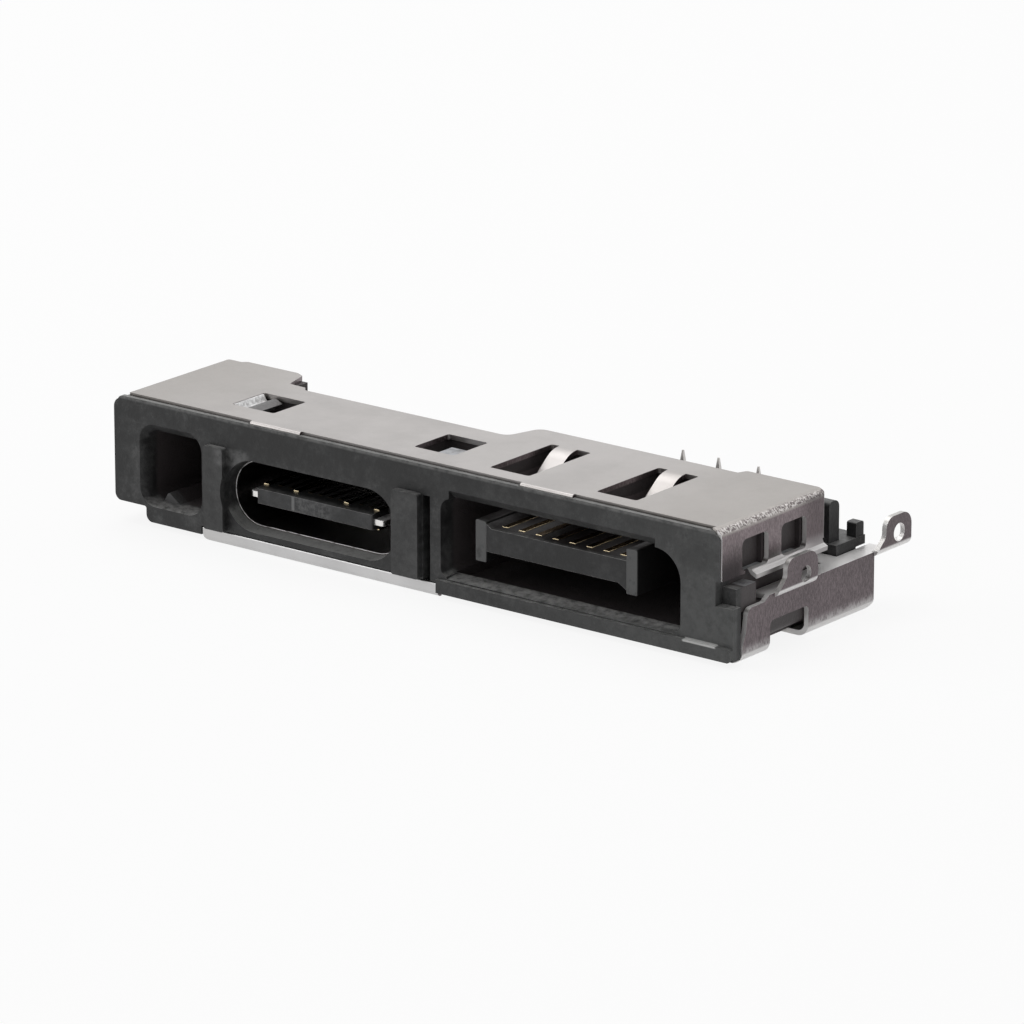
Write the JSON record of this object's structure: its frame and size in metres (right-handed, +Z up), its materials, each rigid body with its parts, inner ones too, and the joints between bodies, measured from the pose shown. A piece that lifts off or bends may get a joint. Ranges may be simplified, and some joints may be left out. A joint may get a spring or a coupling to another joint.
{
  "type": "laptop power jack",
  "caption": "Side power and docking jack for a laptop board: guide slot, USB-C port and network port in one black housing under folded steel shields.",
  "frame": {"origin": "on the underside, below the middle of the part's length and depth", "axes": "+X along the row of ports towards the network port, +Y from the port face to the rear, +Z up from the underside to the steel cover"},
  "size_m": [0.0304, 0.0114, 0.0053],
  "materials": {
    "housing_plastic": "matte moulded, scuffed edges",
    "carrier_plastic": "matte moulded",
    "tongue_plastic": "satin moulded",
    "network_plastic": "satin moulded",
    "cover_steel": "satin nickel, smudged",
    "shield_steel": "satin nickel, fine grain",
    "tube_steel": "satin nickel",
    "plate_steel": "bright",
    "contact_gold": "gold plated",
    "pin_tin": "tinned"
  },
  "bodies": {
    "root": {"front_housing": "housing_plastic", "rear_housing": "carrier_plastic", "top_cover": "cover_steel", "lower_shield": "shield_steel", "usb_shell": "tube_steel", "usb_tongue": "tongue_plastic", "usb_mid_plate": "plate_steel", "usb_upper_ground_plate": "plate_steel", "usb_lower_ground_plate": "plate_steel", "network_tongue": "network_plastic", "usb_upper_contact_1": "contact_gold", "usb_lower_contact_1": "contact_gold", "usb_upper_contact_2": "contact_gold", "usb_lower_contact_2": "contact_gold", "usb_upper_contact_3": "contact_gold", "usb_lower_contact_3": "contact_gold", "usb_upper_contact_4": "contact_gold", "usb_lower_contact_4": "contact_gold", "usb_upper_contact_5": "contact_gold", "usb_lower_contact_5": "contact_gold", "usb_upper_contact_6": "contact_gold", "usb_lower_contact_6": "contact_gold", "usb_upper_contact_7": "contact_gold", "usb_lower_contact_7": "contact_gold", "usb_upper_contact_8": "contact_gold", "usb_lower_contact_8": "contact_gold", "usb_upper_contact_9": "contact_gold", "usb_lower_contact_9": "contact_gold", "usb_upper_contact_10": "contact_gold", "usb_lower_contact_10": "contact_gold", "usb_upper_contact_11": "contact_gold", "usb_lower_contact_11": "contact_gold", "usb_upper_contact_12": "contact_gold", "usb_lower_contact_12": "contact_gold", "network_contact_1": "contact_gold", "network_contact_2": "contact_gold", "network_contact_3": "contact_gold", "network_contact_4": "contact_gold", "network_contact_5": "contact_gold", "network_contact_6": "contact_gold", "network_contact_7": "contact_gold", "network_contact_8": "contact_gold", "rear_pin_1": "pin_tin", "rear_pin_2": "pin_tin", "rear_pin_3": "pin_tin"}
  },
  "joints": []
}
